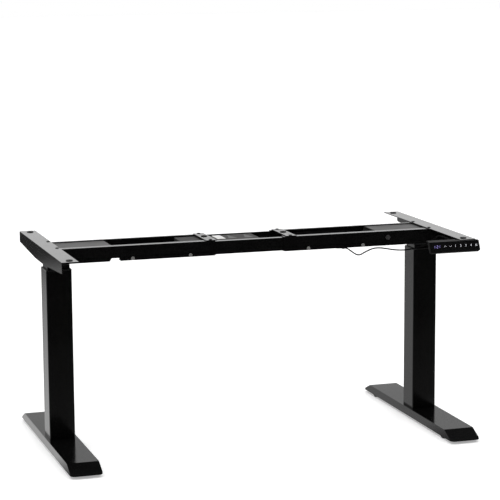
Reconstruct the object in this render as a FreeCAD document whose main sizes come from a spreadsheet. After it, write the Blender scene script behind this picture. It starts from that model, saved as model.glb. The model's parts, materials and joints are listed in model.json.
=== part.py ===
import FreeCAD, Part
import math
import os
import re
import Sketcher
from FreeCAD import Placement, Rotation, Vector

# Electric sit-stand desk frame, without its top, at its lowest height. Millimetres, +Z up, +X to the
# right of a person sitting at the desk, +Y away from them. The origin is on the floor, half way
# between the two legs. Each leg is a square three-stage column on a long flat foot; the two column
# heads carry telescoping rails, and side brackets carry the table top.

SIZES = {
    # feet and levelling glides
    "leg_x": 567.5,           # middle of the desk to the middle of a leg
    "foot_wide": 92,
    "foot_top": 300,          # half the length of the foot's flat top
    "foot_reach": 355,        # half the length of the foot along the floor
    "foot_tall": 24.5,
    "foot_wall": 2.5,
    "foot_corner": 14,
    "foot_nose": 12,          # solid length inside each sloping end
    "glide_tall": 8,
    "glide_radius": 18,
    "glide_waist": 14,
    "glide_inset": 27,        # glides sit towards the middle of the desk
    "glide_y": 272,
    "stud_radius": 4,
    "stud_long": 14,
    # three nested column stages
    "tube_wide": 75,
    "tube_wall": 2,
    "tube_top": 529,
    "middle_wide": 66,
    "inner_wide": 57,
    "stage_wall": 1.8,
    "stage_corner": 3,
    "base_plate": 5,
    "screw_flange": 24,
    "middle_low": 48,
    "middle_top": 543,
    "inner_low": 56,
    "glide_gap": 0.3,         # play between a plastic glide and the tube that slides on it
    "collar_tall": 3,
    "collar_deep": 36,
    "shoe_tall": 20,
    # lifting screw
    "screw_radius": 10,
    "screw_bore": 7.2,
    "screw_top": 520,
    "sleeve_radius": 13,
    "sleeve_bore": 11,
    "sleeve_top": 532,
    "spindle_radius": 6,
    "spindle_low": 62,
    "sleeve_flange": 4,
    "nut_tall": 20,
    "cap_tall": 8,            # the sleeve's upper nut
    "thread_play": 0.08,
    "spindle_up": 14,         # how far the spindle reaches into the gearbox
    # beam
    "frame_top": 597.5,
    "sheet": 2.5,             # side brackets and cross plates
    "rail_low": 551.5,
    "rail_thick": 2,
    "rail_front": -61,
    "rail_rear": 80,
    "flange_wide": 22,
    "lip_wide": 9,
    "rail_near": 106,
    "rail_far": 611,
    "band_tall": 9.5,         # lower band of a rail stands proud of its web
    "band_proud": 0.8,
    "slide_gap": 0.4,         # play between an outer rail and the centre rail inside it
    "notch_near": 390,        # cable notch in the lower edge, along the rail
    "notch_far": 424,
    "notch_tall": 9,
    "notch_slope": 6,
    "centre_half": 390,
    "centre_band": 15,
    "centre_proud": 0.7,
    "cross_x": 123.5,
    "cross_shift": 6,
    "cross_wide": 32,
    "cross_grommet": 17,
    # side brackets
    "bracket_out": 47.5,      # middle of the leg to the bracket's outer face
    "bracket_wide": 48,
    "bracket_half": 300,
    "bracket_deep": 45,
    "bracket_tip": 31.5,
    "bracket_flat": 69,
    "bracket_corner": 6,
    "grommet_in": 27.5,
    "grommet_y": 272.5,
    "grommet_radius": 9.5,
    "grommet_neck": 6,
    "grommet_bore": 2.75,
    "grommet_proud": 2,
    # column head
    "head_near": 410,
    "head_far": 600,
    "head_top": 592.5,
    "ear_low": 562,
    "gear_half": 32.5,
    "gear_front": -34,
    "gear_rear": 56,
    "gear_corner": 6,
    "plate_gap": 0.2,
    "motor_near": 430,
    "motor_y": 10,
    "motor_z": 571.5,
    "motor_radius": 17,
    "motor_cap": 5,
    "motor_cap_radius": 14,
    # control box
    "box_left": -200,
    "box_right": 40,
    "box_front": -36,
    "box_rear": 55,
    "box_low": 557.9,
    "box_top": 590,
    "box_wall": 2,
    "box_corner": 3,
    "lid_thick": 2,
    "strap_wide": 20,
    "strap_thick": 2,
    "strap_inset": 25,        # end of the box to a strap
    "port_front": -30,        # strip of cable sockets on the right end
    "port_rear": 40,
    "port_low": 8,            # above the box's underside
    "port_high": 24,
    "port_proud": 3,
    "port_deep": 6,
    "socket_wide": 10,
    "socket_lip": 2.5,
    "inlet_front": -18,       # mains inlet on the left end
    "inlet_rear": 8,
    "inlet_low": 6,
    "inlet_high": 24,
    "inlet_deep": 12,
    "pin_radius": 1.2,
    "pin_up": 15,
    # handset under the front end of the right bracket
    "hand_left": 462.5,
    "hand_right": 619,
    "hand_face_y": -326.5,    # lower edge of the tilted face
    "hand_face_z": 567,
    "hand_tall": 32.5,        # along the face
    "hand_tilt": 26.5,        # degrees from upright, top edge leaning back
    "hand_thin": 9,           # thickness at the lower edge
    "hand_rim": 1,
    "hand_chin": 2.5,         # extra rim below the fascia
    "hand_corner": 6,
    "tab_thick": 3,           # mounting tab under the bracket's flange
    "tab_deep": 18,
    "tab_deep_left": 28,
    "tab_screw_y": -290,
    "tab_screw_near": 8,      # beyond the middle of the leg
    "tab_screw_far": 32,
    "fascia_thick": 1.5,
    "key_first": 510.7,
    "key_pitch": 16.3,
    "key_wide": 12.5,
    "key_tall": 14,
    "key_up": 11,
    "key_gap": 0.15,
    "key_travel": 0.8,
    # screws
    "small_screw": 2.9,       # radius of an M6 thread
    "small_head": 5,
    "small_rise": 2.6,
    "low_rise": 1.4,
    "socket_radius": 2.3,
    "bolt_radius": 4,
    "bolt_hex": 7.5,
    "bolt_rise": 5.3,
    "bolt_beyond": 9,         # bolt length behind the clamped sheets
    "bolt_nut": 6.5,
    "bolt_inset": 25,         # inner end of the head plate to its bolts
    "bolt_up": 25,            # above the rail's underside
    "clamp_one": 182,
    "clamp_two": 355,
    "clamp_up": 5.7,
    "clamp_grip": 0.9,        # a clamp screw stands this far inside the outer rail
    "top_inset": 7,           # bracket's inner edge to the screws over the rails
    "top_front": 11,          # rail faces to the same screws
    "top_rear": 4.7,
    "hole_play": 0.3,
    "hole_before": 3,         # hole tools start this far before the surface
    "hole_long": 12,
    # cables
    "lead_wide": 4,
    "motor_lead": 5.5,
    "lead_gap": 0.1,
    "clip_long": 7,
    "clip_front": 4,          # cable's middle to the clip's front and rear
    "clip_rear": 3.5,
    "clip_under": 3.3,
}

doc = FreeCAD.newDocument("desk_frame")
sheet = doc.addObject("Spreadsheet::Sheet", "Sizes")
for row, (size_name, number) in enumerate(SIZES.items(), start=1):
    sheet.set(f"A{row}", size_name)
    sheet.set(f"B{row}", str(number))
    sheet.setAlias(f"B{row}", size_name)
doc.recompute()

SIDES = {"left": -1, "right": 1}
UPRIGHT = Rotation()
TURN_TO = {
    "+x": Rotation(Vector(0, 0, 1), Vector(1, 0, 0)),
    "-x": Rotation(Vector(0, 0, 1), Vector(-1, 0, 0)),
    "+y": Rotation(Vector(0, 0, 1), Vector(0, 1, 0)),
    "-y": Rotation(Vector(0, 0, 1), Vector(0, -1, 0)),
    "+z": UPRIGHT,
    "-z": Rotation(Vector(1, 0, 0), 180),
}
parts = {}


def words(text):
    """An expression in plain words, such as "leg_x - 10", made to read the spreadsheet."""
    return re.sub(r"[a-z]+(?:_[a-z]+)*", lambda m: "Sizes." + m[0] if m[0] in SIZES else m[0], str(text))


def number(text):
    """The present value of an expression in plain words."""
    return float(sheet.evalExpression(words(text)))


def bind(piece, **expressions):
    """Bind properties of an object to expressions over the spreadsheet."""
    for name, text in expressions.items():
        piece.setExpression(name, words(text))


def put(piece, place, turn=UPRIGHT):
    """Place an object: its base is three expressions."""
    piece.Placement = Placement(Vector(), turn)
    for axis, text in zip("xyz", place):
        piece.setExpression(f"Placement.Base.{axis}", words(text))
    return piece


def keep(piece, label):
    """Give a finished sub-part its name."""
    piece.Label = label
    parts[label] = piece
    return piece


def outward(side, near, far):
    """(low, high) along X for a stretch that runs from near to far on one side of the desk."""
    if side > 0:
        return near, far
    return f"-({far})", f"-({near})"


def box(name, x, y, z):
    """A block between (low, high) expressions along each axis."""
    piece = doc.addObject("Part::Box", name)
    for size, (low, high) in zip(("Length", "Width", "Height"), (x, y, z)):
        bind(piece, **{size: f"({high}) - ({low})"})
    return put(piece, (x[0], y[0], z[0]))


def rod(name, radius, place, axis, length):
    """A round bar that starts at a place and runs along an axis."""
    piece = doc.addObject("Part::Cylinder", name)
    bind(piece, Radius=radius, Height=length)
    return put(piece, place, TURN_TO[axis])


def cone(name, low_radius, high_radius, place, length):
    """An upright cone with two flat ends."""
    piece = doc.addObject("Part::Cone", name)
    bind(piece, Radius1=low_radius, Radius2=high_radius, Height=length)
    return put(piece, place)


def hexagon(name, radius, place, axis, length):
    """A hexagonal bar that starts at a place and runs along an axis."""
    piece = doc.addObject("Part::Prism", name)
    piece.Polygon = 6
    bind(piece, Circumradius=radius, Height=length)
    return put(piece, place, TURN_TO[axis])


def fuse(name, *pieces):
    piece = doc.addObject("Part::MultiFuse", name)
    piece.Shapes = list(pieces)
    return piece


def cut(name, base, *tools):
    """The base with one or more tools taken away."""
    piece = doc.addObject("Part::Cut", name)
    piece.Base = base
    piece.Tool = tools[0] if len(tools) == 1 else fuse(name + "_tools", *tools)
    return piece


def common(name, base, tool):
    piece = doc.addObject("Part::Common", name)
    piece.Base = base
    piece.Tool = tool
    return piece


def group(name, pieces):
    """Several like solids in one node."""
    piece = doc.addObject("Part::Compound", name)
    piece.Links = list(pieces)
    return piece


def through(name, radius, spot, axis, length="hole_long"):
    """A hole tool that starts a little before a spot on the surface."""
    return rod(name, radius, shifted(spot, axis, "-hole_before"), axis, length)


def shifted(place, axis, distance):
    """A place moved along an axis by an expression."""
    moved = list(place)
    index = "xyz".index(axis[1])
    moved[index] = f"({moved[index]}) {axis[0]} ({distance})"
    return moved


def opposite(axis):
    return ("-" if axis[0] == "+" else "+") + axis[1]


def origin_plane(body, role):
    return next(f for f in body.Origin.OriginFeatures if f.Role == role)


def outline(body, name, plane, loops, start):
    """A sketch of closed straight-sided loops on one of the body's own planes, moved to start.
    Every corner is held by two expressions."""
    sketch = body.newObject("Sketcher::SketchObject", name)
    sketch.AttachmentSupport = [(origin_plane(body, plane + "_Plane"), "")]
    sketch.MapMode = "FlatFace"
    away = f"-({start})" if plane == "XZ" else start
    sketch.setExpression("AttachmentOffset.Base.z", words(away))
    for corners in loops:
        first = sketch.GeometryCount
        spots = [Vector(number(a), number(b), 0) for a, b in corners]
        for index, spot in enumerate(spots):
            sketch.addGeometry(Part.LineSegment(spot, spots[(index + 1) % len(spots)]), False)
        for index, pair in enumerate(corners):
            line = first + index
            before = first + (index - 1) % len(corners)
            sketch.addConstraint(Sketcher.Constraint("Coincident", before, 2, line, 1))
            for kind, text in zip(("DistanceX", "DistanceY"), pair):
                held = sketch.addConstraint(Sketcher.Constraint(kind, line, 1, number(text)))
                sketch.setExpression(f"Constraints[{held}]", words(text))
    return sketch


def prism(name, plane, loops, start, length, rounds=()):
    """A body padded from straight-sided loops. rounds lists (rule, radius): the rule picks the edges
    to round."""
    body = doc.addObject("PartDesign::Body", name)
    pad = body.newObject("PartDesign::Pad", name + "_pad")
    pad.Profile = outline(body, name + "_outline", plane, loops, start)
    pad.Reversed = plane == "XZ"
    bind(pad, Length=length)
    body.Tip = pad
    doc.recompute()
    for index, (rule, radius) in enumerate(rounds):
        base = body.Tip
        edges = [f"Edge{n}" for n, edge in enumerate(base.Shape.Edges, start=1) if rule(edge)]
        fillet = body.newObject("PartDesign::Fillet", f"{name}_round{index}")
        fillet.Base = (base, edges)
        bind(fillet, Radius=radius)
        body.Tip = fillet
        doc.recompute()
    return body


def upright_edge(edge):
    """An edge that runs straight up."""
    return len(edge.Vertexes) == 2 and abs(edge.tangentAt(edge.FirstParameter).z) > 0.999


def rectangle(x, y):
    """The corners of a rectangle between (low, high) pairs."""
    return [(x[0], y[0]), (x[1], y[0]), (x[1], y[1]), (x[0], y[1])]


def square(middle, wide):
    """A square around the column's axis."""
    return rectangle((f"{middle} - ({wide}) / 2", f"{middle} + ({wide}) / 2"),
                     (f"-({wide}) / 2", f"({wide}) / 2"))


def square_tube(name, middle, wide, hollow, low, high, corner):
    """A square tube around the column's axis, with rounded outer corners."""
    half = number(wide) / 2

    def outer_corner(edge):
        spot = edge.Vertexes[0].Point
        return upright_edge(edge) and abs(abs(spot.y) - half) < 0.01

    loops = [square(middle, wide), square(middle, hollow)]
    return prism(name, "XY", loops, low, f"({high}) - ({low})", [(outer_corner, corner)])


def screw(name, place, axis, length, rise="small_rise"):
    """A round-head screw with a hexagon socket; its shank runs along the axis from the place."""
    back = opposite(axis)
    head = rod(name + "_head", "small_head", place, back, rise)
    shank = rod(name + "_shank", "small_screw", place, axis, length)
    socket = hexagon(name + "_socket", "socket_radius", shifted(place, back, rise), axis, f"({rise}) * 0.6")
    return cut(name, fuse(name + "_blank", head, shank), socket)


def nut_and_bolt(name, place, axis, clamped):
    """A hexagon bolt and, behind the clamped sheets, its nut: two solids."""
    back = opposite(axis)
    head = hexagon(name + "_head", "bolt_hex", place, back, "bolt_rise")
    shank = rod(name + "_shank", "bolt_radius", place, axis, f"({clamped}) + bolt_beyond")
    behind = shifted(place, axis, clamped)
    nut = hexagon(name + "_nut_blank", "bolt_hex", behind, axis, "bolt_nut")
    bore = rod(name + "_nut_bore", "bolt_radius", behind, axis, "bolt_nut + 1")
    return [fuse(name + "_bolt", head, shank), cut(name + "_nut", nut, bore)]


# ---- one leg ------------------------------------------------------------------------------------

def make_foot(side_name, middle):
    """A folded flat foot with long sloping ends, closed below, drilled for two glide studs."""
    name = side_name + "_foot"
    floor = "glide_tall"
    top = "glide_tall + foot_tall"
    slope = [("-foot_reach", floor), ("foot_reach", floor), ("foot_top", top), ("-foot_top", top)]
    half = "foot_wide / 2"
    block = prism(name + "_block", "YZ", [slope], f"{middle} - {half}", "foot_wide")
    plan = rectangle((f"{middle} - {half}", f"{middle} + {half}"), ("-foot_reach", "foot_reach"))
    rounded = prism(name + "_plan", "XY", [plan], 0, "2 * foot_tall", [(upright_edge, "foot_corner")])
    skin = common(name + "_skin", block, rounded)
    low = "glide_tall + foot_wall"
    high = f"{top} - foot_wall"
    reach = "foot_reach - foot_nose"
    room = [(f"-({reach})", low), (reach, low), ("foot_top", high), ("-foot_top", high)]
    hollow = prism(name + "_hollow", "YZ", [room], f"{middle} - {half} + foot_wall",
                   "foot_wide - 2 * foot_wall")
    holes = [
        rod(f"{name}_hole_{end}", "stud_radius + thread_play", (glide_x(side_name), f"{way}glide_y", 0),
            "+z", "glide_tall + hole_long")
        for end, way in (("front", "-"), ("rear", ""))
    ]
    keep(cut(name, skin, hollow, *holes), name)


def glide_x(side_name):
    return f"{SIDES[side_name]} * (leg_x - glide_inset)"


def make_glides(side_name):
    """Levelling glides: a tapered pad with a threaded stud."""
    for end, way in (("front", "-"), ("rear", "")):
        name = f"{side_name}_{end}_glide"
        spot = (glide_x(side_name), f"{way}glide_y", 0)
        pad = cone(name + "_pad", "glide_waist", "glide_radius", spot, "glide_tall")
        stud = rod(name + "_stud", "stud_radius", shifted(spot, "+z", "glide_tall - 1"), "+z",
                   "stud_long + 1")
        keep(fuse(name, pad, stud), name)


def make_base_column(side_name, middle):
    """Outer tube, its plastic collar and the hollow lifting screw that turns on the foot."""
    foot_face = "glide_tall + foot_tall"
    keep(square_tube(f"{side_name}_outer_tube", middle, "tube_wide", "tube_wide - 2 * tube_wall",
                     foot_face, "tube_top", "stage_corner"), f"{side_name}_outer_tube")
    make_collar(f"{side_name}_outer_collar", middle, "tube_wide", "tube_wide - 2 * tube_wall",
                "middle_wide", "tube_top")
    name = f"{side_name}_base_screw"
    flange = rod(name + "_flange", "screw_flange", (middle, 0, foot_face), "+z", "base_plate")
    post = rod(name + "_post", "screw_radius", (middle, 0, foot_face), "+z",
               f"screw_top - ({foot_face})")
    bore = rod(name + "_bore", "screw_bore", (middle, 0, f"{foot_face} + base_plate + 1"), "+z",
               "screw_top")
    keep(cut(name, fuse(name + "_blank", flange, post), bore), name)


def collar_ring(name, middle, outer, hollow, rider, top):
    """A plastic ring that caps a tube, with a skirt inside it that guides the next stage."""
    guide = f"{rider} + 2 * glide_gap"
    cap = square_tube(name + "_cap", middle, outer, guide, top, f"{top} + collar_tall", "stage_corner")
    skirt = prism(name + "_skirt", "XY", [square(middle, f"{hollow} - 0.1"), square(middle, guide)],
                  f"{top} - collar_deep", "collar_deep + 1")
    return fuse(name, cap, skirt)


def make_collar(name, middle, outer, hollow, rider, top):
    keep(collar_ring(name, middle, outer, hollow, rider, top), name)


def shoe(name, middle, rider, hollow, low):
    """A plastic ring on the lower end of a stage, sliding in the tube around it."""
    loops = [square(middle, f"{hollow} - 2 * glide_gap"), square(middle, f"{rider} + 0.1")]
    return prism(name, "XY", loops, low, "shoe_tall")


def make_middle_stage(side_name, middle):
    """Middle tube, its collar and shoe, and the threaded sleeve that it carries."""
    name = f"{side_name}_middle_tube"
    bore = "middle_wide - 2 * stage_wall"
    keep(square_tube(name, middle, "middle_wide", bore, "middle_low", "middle_top", "stage_corner"), name)
    name = f"{side_name}_middle_glides"
    collar = collar_ring(name + "_collar", middle, "middle_wide", bore, "inner_wide", "middle_top")
    lower = shoe(name + "_shoe", middle, "middle_wide", "tube_wide - 2 * tube_wall", "middle_low")
    keep(group(name, [collar, lower]), name)
    name = f"{side_name}_spindle_sleeve"
    low = "middle_low - sleeve_flange"
    flange = prism(name + "_flange", "XY", [square(middle, "middle_wide")], low, "sleeve_flange")
    pipe = rod(name + "_pipe", "sleeve_radius", (middle, 0, low), "+z", f"sleeve_top - ({low})")
    wide = rod(name + "_wide", "sleeve_bore", (middle, 0, f"{low} + nut_tall"), "+z",
               f"sleeve_top - ({low}) - nut_tall - cap_tall")
    lower_nut = rod(name + "_lower", "screw_radius + thread_play", (middle, 0, f"{low} - 1"), "+z",
                    "nut_tall + 2")
    upper_nut = rod(name + "_upper", "spindle_radius + thread_play",
                    (middle, 0, "sleeve_top - cap_tall - 1"), "+z", "cap_tall + 2")
    keep(cut(name, fuse(name + "_blank", flange, pipe), wide, lower_nut, upper_nut), name)


def make_inner_stage(side_name, middle):
    """Inner tube with its shoe, and the turning spindle on its axis."""
    name = f"{side_name}_inner_tube"
    keep(square_tube(name, middle, "inner_wide", "inner_wide - 2 * stage_wall", "inner_low", "rail_low",
                     "stage_corner"), name)
    name = f"{side_name}_inner_shoe"
    keep(shoe(name, middle, "inner_wide", "middle_wide - 2 * stage_wall", "inner_low"), name)
    name = f"{side_name}_spindle"
    keep(rod(name, "spindle_radius", (middle, 0, "spindle_low"), "+z",
             "rail_low + spindle_up - spindle_low"), name)


# ---- column head --------------------------------------------------------------------------------

def make_head(side_name, side, middle):
    """Gearbox on the inner tube, flat motor beside it, and the folded plate that joins the rails."""
    name = f"{side_name}_gearbox"
    x = (f"{middle} - gear_half", f"{middle} + gear_half")
    y = ("gear_front", "gear_rear")
    block = prism(name + "_block", "XY", [rectangle(x, y)], "rail_low", "head_top - sheet - rail_low",
                  [(upright_edge, "gear_corner")])
    seat = rod(name + "_seat", "spindle_radius + thread_play", (middle, 0, "rail_low - 1"), "+z",
               "spindle_up + 2")
    keep(cut(name, block, seat), name)

    name = f"{side_name}_motor"
    axis = "+x" if side > 0 else "-x"
    start = (f"{side} * motor_near", "motor_y", "motor_z")
    length = "leg_x - gear_half - motor_near"
    can = rod(name + "_can", "motor_radius", start, axis, length)
    cap = rod(name + "_cap", "motor_cap_radius", shifted(start, opposite(axis), "motor_cap"), axis,
              "motor_cap + 1")
    keep(fuse(name, can, cap), name)

    name = f"{side_name}_head_plate"
    front = "rail_front + rail_thick + plate_gap"
    rear = "rail_rear - rail_thick - plate_gap"
    under = "head_top - sheet"
    section = [(front, "ear_low"), (f"{front} + sheet", "ear_low"), (f"{front} + sheet", under),
               (f"{rear} - sheet", under), (f"{rear} - sheet", "ear_low"), (rear, "ear_low"),
               (rear, "head_top"), (front, "head_top")]
    low, high = outward(side, "head_near", "head_far")
    plate = prism(name + "_plate", "YZ", [section], low, f"({high}) - ({low})")
    keep(cut(name, plate, *bolt_holes(name, side)), name)


def bolt_spots(side):
    """The rail bolt: the two column heads are one part turned by half a turn, so it is in the front rail
    on the right and in the rear rail on the left."""
    x = f"{side} * (head_near + bolt_inset)"
    if side > 0:
        return [((x, "rail_front", "rail_low + bolt_up"), "+y")]
    return [((x, "rail_rear", "rail_low + bolt_up"), "-y")]


def bolt_holes(name, side):
    return [through(f"{name}_bolt_hole{index}", "bolt_radius + hole_play", spot, axis)
            for index, (spot, axis) in enumerate(bolt_spots(side))]


def clamp_spots(side):
    """Screws through the lower band of the outer rails that press on the centre rails."""
    spots = []
    for along in ("clamp_one", "clamp_two"):
        x = f"{side} * {along}"
        spots.append(((x, "rail_front - band_proud", "rail_low + clamp_up"), "+y"))
        spots.append(((x, "rail_rear + band_proud", "rail_low + clamp_up"), "-y"))
    return spots


def top_spots(side):
    """Screws down through the side bracket and the cross plate into the rails' upper flanges."""
    bracket = f"{side} * (leg_x + bracket_out - bracket_wide + top_inset)"
    cross = f"{side} * cross_x + cross_shift"
    return [((x, y, "frame_top"), "-z") for x in (bracket, cross)
            for y in ("rail_front + top_front", "rail_rear - top_rear")]


def make_rail(name, x, face, way, top, low, thick, lower, lip, band, proud):
    """A channel rail along X that opens towards the middle of the beam. face is the outer face of its
    web and way is +1 when the flanges run towards +Y. The lower band stands proud by a small step."""
    def at(depth):
        return f"{face} + {way} * ({depth})"

    step = f"({low}) + ({band})"
    section = [
        (at(0), top), (at(lip), top), (at(lip), f"({top}) - {thick}"), (at(thick), f"({top}) - {thick}"),
        (at(thick), f"{step} + 1"), (at(f"{thick} - ({proud})"), step),
        (at(f"{thick} - ({proud})"), f"({low}) + {thick}"), (at(lower), f"({low}) + {thick}"),
        (at(lower), low), (at(f"-({proud})"), low), (at(f"-({proud})"), step), (at(0), f"{step} + 1"),
    ]
    if way < 0:
        section.reverse()
    return prism(name, "YZ", [section], x[0], f"({x[1]}) - ({x[0]})")


def cable_notch(name, side):
    """Tool for the notch in the lower edge of one rail of each side, near its column."""
    near, far = outward(side, "notch_near", "notch_far")
    low = "rail_low - 1"
    high = "rail_low + notch_tall"
    corners = [(near, low), (far, low), (f"{far} - notch_slope", high), (f"{near} + notch_slope", high)]
    start = "rail_front - 2 * band_proud" if side < 0 else "rail_rear - flange_wide - 1"
    return prism(name + "_notch", "XZ", [corners], start, "flange_wide + 3")


def make_outer_rails(side_name, side):
    """The outer rails of one side, drilled for their bolts, clamp screws and top screws."""
    x = outward(side, "rail_near", "rail_far")
    top = "frame_top - sheet"
    faces = {"front": ("rail_front", 1, "flange_wide"), "rear": ("rail_rear", -1, "lip_wide")}
    for end, (face, way, lip) in faces.items():
        name = f"{side_name}_{end}_rail"
        rail = make_rail(name + "_channel", x, face, way, top, "rail_low", "rail_thick",
                         "flange_wide", lip, "band_tall", "band_proud")
        holes = bolt_holes(name, side)
        for index, (spot, axis) in enumerate(clamp_spots(side)):
            holes.append(through(f"{name}_clamp_hole{index}", "small_screw + hole_play", spot, axis,
                                 "hole_before + 2 * rail_thick"))
        for index, (spot, axis) in enumerate(top_spots(side)):
            holes.append(through(f"{name}_top_hole{index}", "small_screw + hole_play", spot, axis))
        if (side < 0) == (end == "front"):
            holes.append(cable_notch(name, side))
        keep(cut(name, rail, *holes), name)


def make_fasteners(side_name, side):
    """Bolts with nuts and screws of one side of the beam."""
    solids = []
    for index, (spot, axis) in enumerate(bolt_spots(side)):
        solids += nut_and_bolt(f"{side_name}_bolt{index}", spot, axis, "rail_thick + plate_gap + sheet")
    for index, (spot, axis) in enumerate(clamp_spots(side)):
        solids.append(screw(f"{side_name}_clamp{index}", spot, axis, "rail_thick + clamp_grip"))
    for index, (spot, axis) in enumerate(top_spots(side)):
        solids.append(screw(f"{side_name}_top{index}", spot, axis, "sheet + rail_thick + plate_gap",
                            "low_rise"))
    if side > 0:
        for index, (spot, axis) in enumerate(tab_spots()):
            solids.append(screw(f"{side_name}_tab{index}", spot, axis, "tab_thick + sheet"))
    keep(group(f"{side_name}_rail_fasteners", solids), f"{side_name}_rail_fasteners")


def tab_spots():
    """Screws up through the handset's tab into the right bracket's flange."""
    return [((f"leg_x + {along}", "tab_screw_y", "frame_top - sheet - tab_thick"), "+z")
            for along in ("tab_screw_near", "tab_screw_far")]


def grommet_spots(side):
    """Middles of the rubber grommets: two in the side bracket and one in the cross plate."""
    x = f"{side} * (leg_x + bracket_out - grommet_in)"
    return [(x, "-grommet_y"), (x, "grommet_y"), (f"{side} * cross_x + cross_shift", "cross_grommet")]


def make_bracket(side_name, side):
    """Angle bracket under the table top: a flat flange and a web that is deepest over the column."""
    name = f"{side_name}_side_bracket"
    inner = "leg_x + bracket_out - bracket_wide"
    outer = "leg_x + bracket_out"
    flange = box(name + "_flange", outward(side, inner, outer), ("-bracket_half", "bracket_half"),
                 ("frame_top - sheet", "frame_top"))
    deep = "frame_top - bracket_deep"
    tip = "frame_top - bracket_tip"
    side_view = [("-bracket_half", "frame_top - 1"), ("-bracket_half", tip), ("-bracket_flat", deep),
                 ("bracket_flat", deep), ("bracket_half", tip), ("bracket_half", "frame_top - 1")]

    def lower_corner(edge):
        spot = edge.CenterOfMass
        return abs(abs(spot.y) - number("bracket_half")) < 0.01 and abs(spot.z - number(tip)) < 0.01

    low, high = outward(side, f"{outer} - sheet", outer)
    web = prism(name + "_web", "YZ", [side_view], low, f"({high}) - ({low})",
                [(lower_corner, "bracket_corner")])
    holes = [through(f"{name}_hole{index}", "grommet_neck", (x, y, "frame_top"), "-z")
             for index, (x, y) in enumerate(grommet_spots(side)[:2])]
    holes += [through(f"{name}_top_hole{index}", "small_screw + hole_play", spot, axis)
              for index, (spot, axis) in enumerate(top_spots(side)[:2])]
    if side > 0:
        holes += [through(f"{name}_tab_hole{index}", "small_screw", spot, axis)
                  for index, (spot, axis) in enumerate(tab_spots())]
    keep(cut(name, fuse(name + "_blank", flange, web), *holes), name)


def make_cross_plate(side_name, side):
    """Flat plate across the two rails, with one rubber grommet."""
    name = f"{side_name}_cross_plate"
    middle = f"{side} * cross_x + cross_shift"
    plate = box(name + "_plate", (f"{middle} - cross_wide / 2", f"{middle} + cross_wide / 2"),
                ("rail_front", "rail_rear"), ("frame_top - sheet", "frame_top"))
    x, y = grommet_spots(side)[2]
    holes = [through(name + "_hole", "grommet_neck", (x, y, "frame_top"), "-z")]
    holes += [through(f"{name}_top_hole{index}", "small_screw + hole_play", spot, axis)
              for index, (spot, axis) in enumerate(top_spots(side)[2:])]
    keep(cut(name, plate, *holes), name)


def make_grommets(side_name, side):
    """Rubber grommets that the table top rests on; wood screws pass through them."""
    rings = []
    for index, (x, y) in enumerate(grommet_spots(side)):
        name = f"{side_name}_grommet{index}"
        head = rod(name + "_head", "grommet_radius", (x, y, "frame_top"), "+z", "grommet_proud")
        neck = rod(name + "_neck", "grommet_neck", (x, y, "frame_top - sheet"), "+z", "sheet + 1")
        bore = through(name + "_bore", "grommet_bore", (x, y, "frame_top"), "-z")
        rings.append(cut(name, fuse(name + "_blank", head, neck), bore))
    keep(group(f"{side_name}_grommets", rings), f"{side_name}_grommets")


# ---- middle of the beam -------------------------------------------------------------------------

def make_centre_rails():
    """The rails inside the outer rails; their middle stretch shows between the outer rails' ends."""
    inset = "rail_thick + slide_gap + centre_proud"
    top = "frame_top - sheet - rail_thick - slide_gap"
    low = "rail_low + rail_thick + slide_gap"
    sides = {"front": (f"rail_front + {inset}", 1, "flange_wide - 4"),
             "rear": (f"rail_rear - ({inset})", -1, "lip_wide - 4")}
    for end, (face, way, lip) in sides.items():
        name = f"centre_{end}_rail"
        rail = make_rail(name, ("-centre_half", "centre_half"), face, way, top, low, "rail_thick",
                         "flange_wide - 4", lip, "centre_band", "centre_proud")
        keep(rail, name)


def make_control_box():
    """Flat controller housing on two straps that lie on the centre rails, with its lid and ports."""
    name = "control_box_housing"
    x = ("box_left", "box_right")
    y = ("box_front", "box_rear")
    shell = prism(name + "_shell", "XY", [rectangle(x, y)], "box_low", "box_top - box_low",
                  [(upright_edge, "box_corner")])
    room = box(name + "_room", ("box_left + box_wall", "box_right - box_wall"),
               ("box_front + box_wall", "box_rear - box_wall"), ("box_low + box_wall", "box_top + 1"))
    port_room = box(name + "_port_room", ("box_right - 2 * box_wall", "box_right + 1"), PORT_Y, PORT_Z)
    inlet_room = box(name + "_inlet_room", ("box_left - 1", "box_left + 2 * box_wall"), INLET_Y, INLET_Z)
    strap_x = ("box_left + strap_inset", "box_right - strap_inset - strap_wide")
    strap_y = (f"rail_front + {STRAP_END}", f"rail_rear - ({STRAP_END})")
    straps = [box(f"{name}_strap{index}", (x_low, f"{x_low} + strap_wide"), strap_y,
                  ("box_low - strap_thick", "box_low")) for index, x_low in enumerate(strap_x)]
    tray = cut(name + "_tray", shell, room, port_room, inlet_room)
    keep(fuse(name, tray, *straps), name)

    name = "control_box_lid"
    lid = prism(name, "XY", [rectangle(x, y)], "box_top", "lid_thick",
                [(upright_edge, "box_corner")])
    keep(lid, name)

    name = "control_box_ports"
    block = box(name + "_block", ("box_right - port_deep", "box_right + port_proud"), PORT_Y, PORT_Z)
    sockets = [box(f"{name}_socket{index}", ("box_right - port_deep + 1", "box_right + port_proud + 1"),
                   (f"{y_low}", f"{y_low} + socket_wide"), within(PORT_Z))
               for index, y_low in enumerate(SOCKETS)]
    strip = cut(name + "_strip", block, *sockets)

    block = box(name + "_inlet", ("box_left - port_proud", "box_left + inlet_deep"), INLET_Y, INLET_Z)
    socket = box(name + "_mains_socket", ("box_left - port_proud - 1", "box_left + 0.7 * inlet_deep"),
                 within(INLET_Y), within(INLET_Z))
    pins = [rod(f"{name}_pin{index}", "pin_radius",
                ("box_left + inlet_deep / 3", y_pin, "box_low + pin_up"), "+x", "inlet_deep / 2")
            for index, y_pin in enumerate(PINS)]
    inlet = fuse(name + "_mains", cut(name + "_mains_shell", block, socket), *pins)
    keep(group(name, [strip, inlet]), name)


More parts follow.
